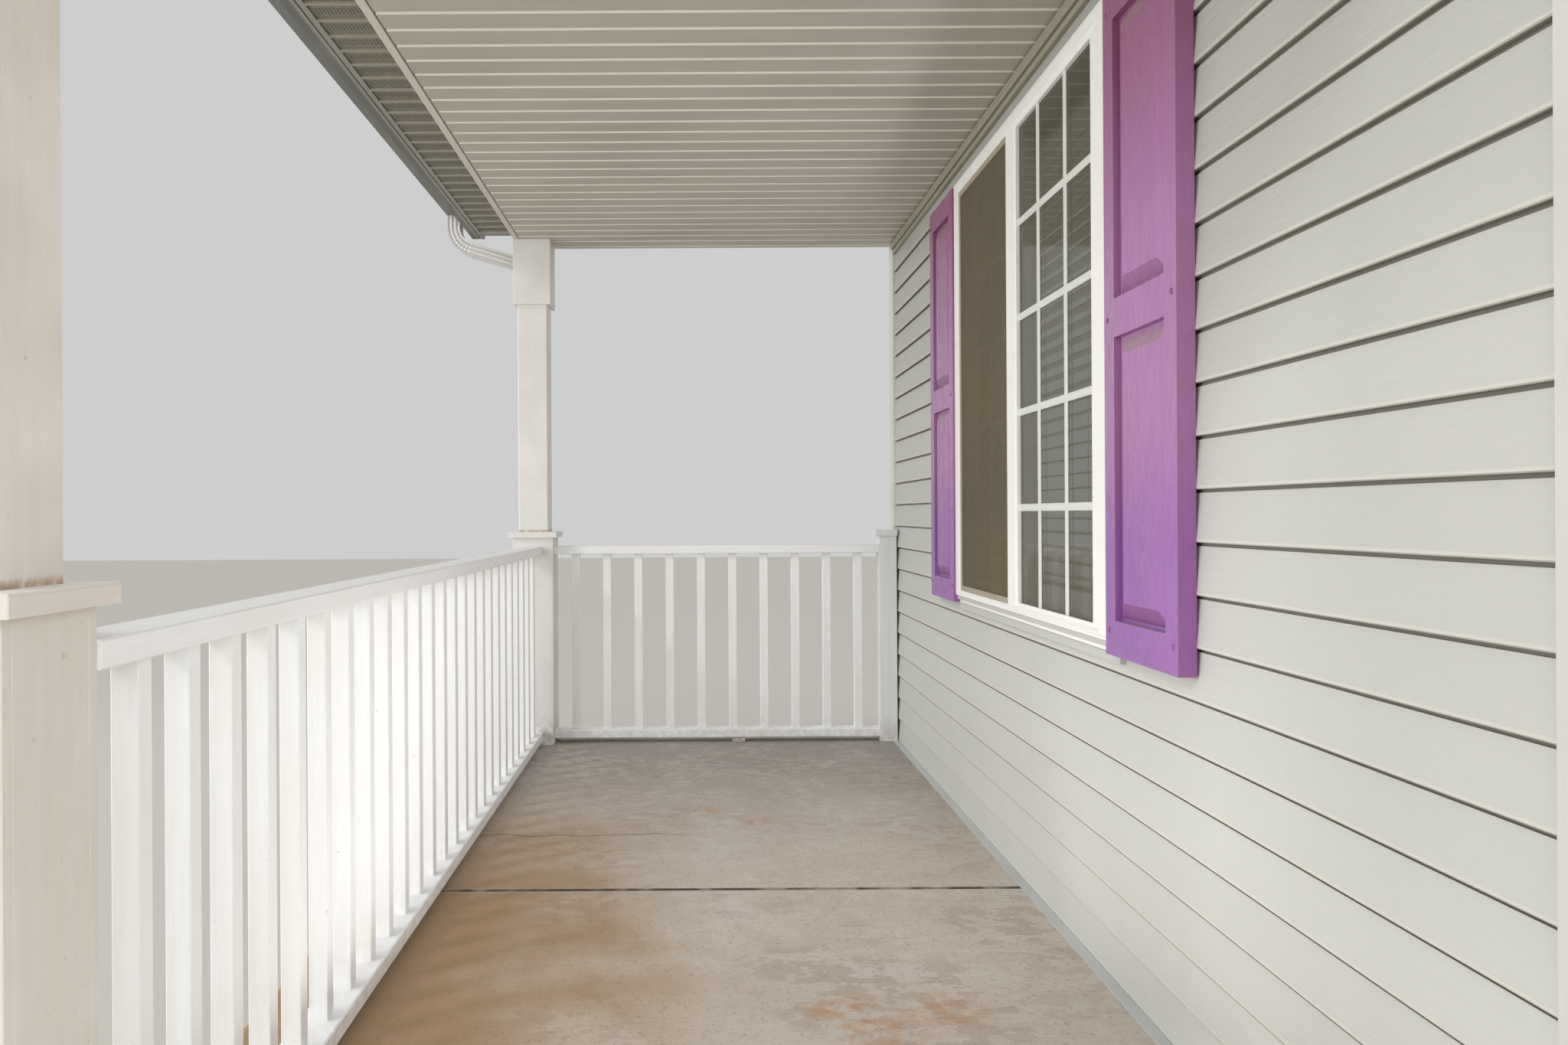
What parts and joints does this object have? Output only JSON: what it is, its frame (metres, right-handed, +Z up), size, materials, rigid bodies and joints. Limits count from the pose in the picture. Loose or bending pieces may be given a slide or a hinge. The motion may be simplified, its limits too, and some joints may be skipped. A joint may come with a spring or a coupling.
{
  "type": "front porch",
  "caption": "Railed front porch bay with boxed posts, concrete slab, ribbed ceiling, lean-to shingled roof, gutter and the sided house wall behind it with a shuttered slider window.",
  "frame": {"origin": "middle of the porch's box, on the ground under the slab", "axes": "+X along the porch from its railed end to its open end, +Y from the yard to the house, +Z up"},
  "size_m": [4.445, 2.346, 3.6573],
  "materials": {
    "slab_concrete": "broom-finished concrete, weathered and stained",
    "foundation_block": "rough parged masonry",
    "wall_lining": "flat painted board",
    "lap_siding": "light grey embossed siding, satin",
    "trim_board": "off-white coated trim, satin",
    "channel_trim": "greige coated sheet, satin",
    "window_frame": "white window profile, satin",
    "glass": "clear window glass",
    "screen_mesh": "dark woven insect screen",
    "blind_rail": "white enamel",
    "shutter_panel": "purple moulded panel with wood grain",
    "painted_wood": "white painted timber with dirt and scuffs",
    "soffit_sheet": "greige ribbed sheet, satin",
    "frieze_sheet": "greige coated sheet, satin",
    "framing_timber": "sawn softwood",
    "roof_sheathing": "strand board",
    "shingle": "mineral granules on felt",
    "flashing_sheet": "folded coated sheet",
    "fascia_sheet": "taupe coated sheet, satin",
    "gutter_sheet": "taupe coated gutter sheet",
    "downspout_sheet": "light grey corrugated pipe sheet"
  },
  "bodies": {
    "root": {"porch_slab": "slab_concrete", "foundation_wall": "foundation_block", "house_wall_far": "wall_lining", "house_wall_near": "wall_lining", "house_wall_below": "wall_lining", "house_wall_above": "wall_lining", "siding_far": "lap_siding", "siding_near": "lap_siding", "siding_below": "lap_siding", "siding_above": "lap_siding", "siding_base_trim": "trim_board", "ceiling_wall_channel": "channel_trim", "wall_corner_trim": "trim_board", "door_casing": "trim_board", "window_frame": "window_frame", "fixed_sash": "window_frame", "sliding_sash": "window_frame", "window_glass": "glass", "screen_frame": "window_frame", "screen_mesh": "screen_mesh", "window_sill": "window_frame", "blind_head_rail": "blind_rail", "window_inner_trim": "painted_wood", "shutter_far": "shutter_panel", "shutter_near": "shutter_panel", "corner_post_shaft": "painted_wood", "corner_post_sleeve": "painted_wood", "corner_post_cap": "painted_wood", "corner_post_capital": "painted_wood", "near_post_shaft": "painted_wood", "near_post_sleeve": "painted_wood", "near_post_cap": "painted_wood", "near_post_capital": "painted_wood", "wall_post": "painted_wood", "wall_post_cap": "painted_wood", "front_railing": "painted_wood", "end_railing": "painted_wood", "rail_foot": "painted_wood", "porch_ceiling": "soffit_sheet", "eave_soffit": "soffit_sheet", "frieze_board": "frieze_sheet", "end_frieze_board": "frieze_sheet", "porch_beam": "framing_timber", "roof_rafters": "framing_timber", "roof_deck": "roof_sheathing", "roof_shingles": "shingle", "wall_flashing": "flashing_sheet", "gable_far": "lap_siding", "gable_near": "lap_siding", "rake_board": "fascia_sheet", "fascia_board": "fascia_sheet", "gutter": "gutter_sheet", "downspout": "downspout_sheet", "downspout_straps": "downspout_sheet"}
  },
  "joints": []
}
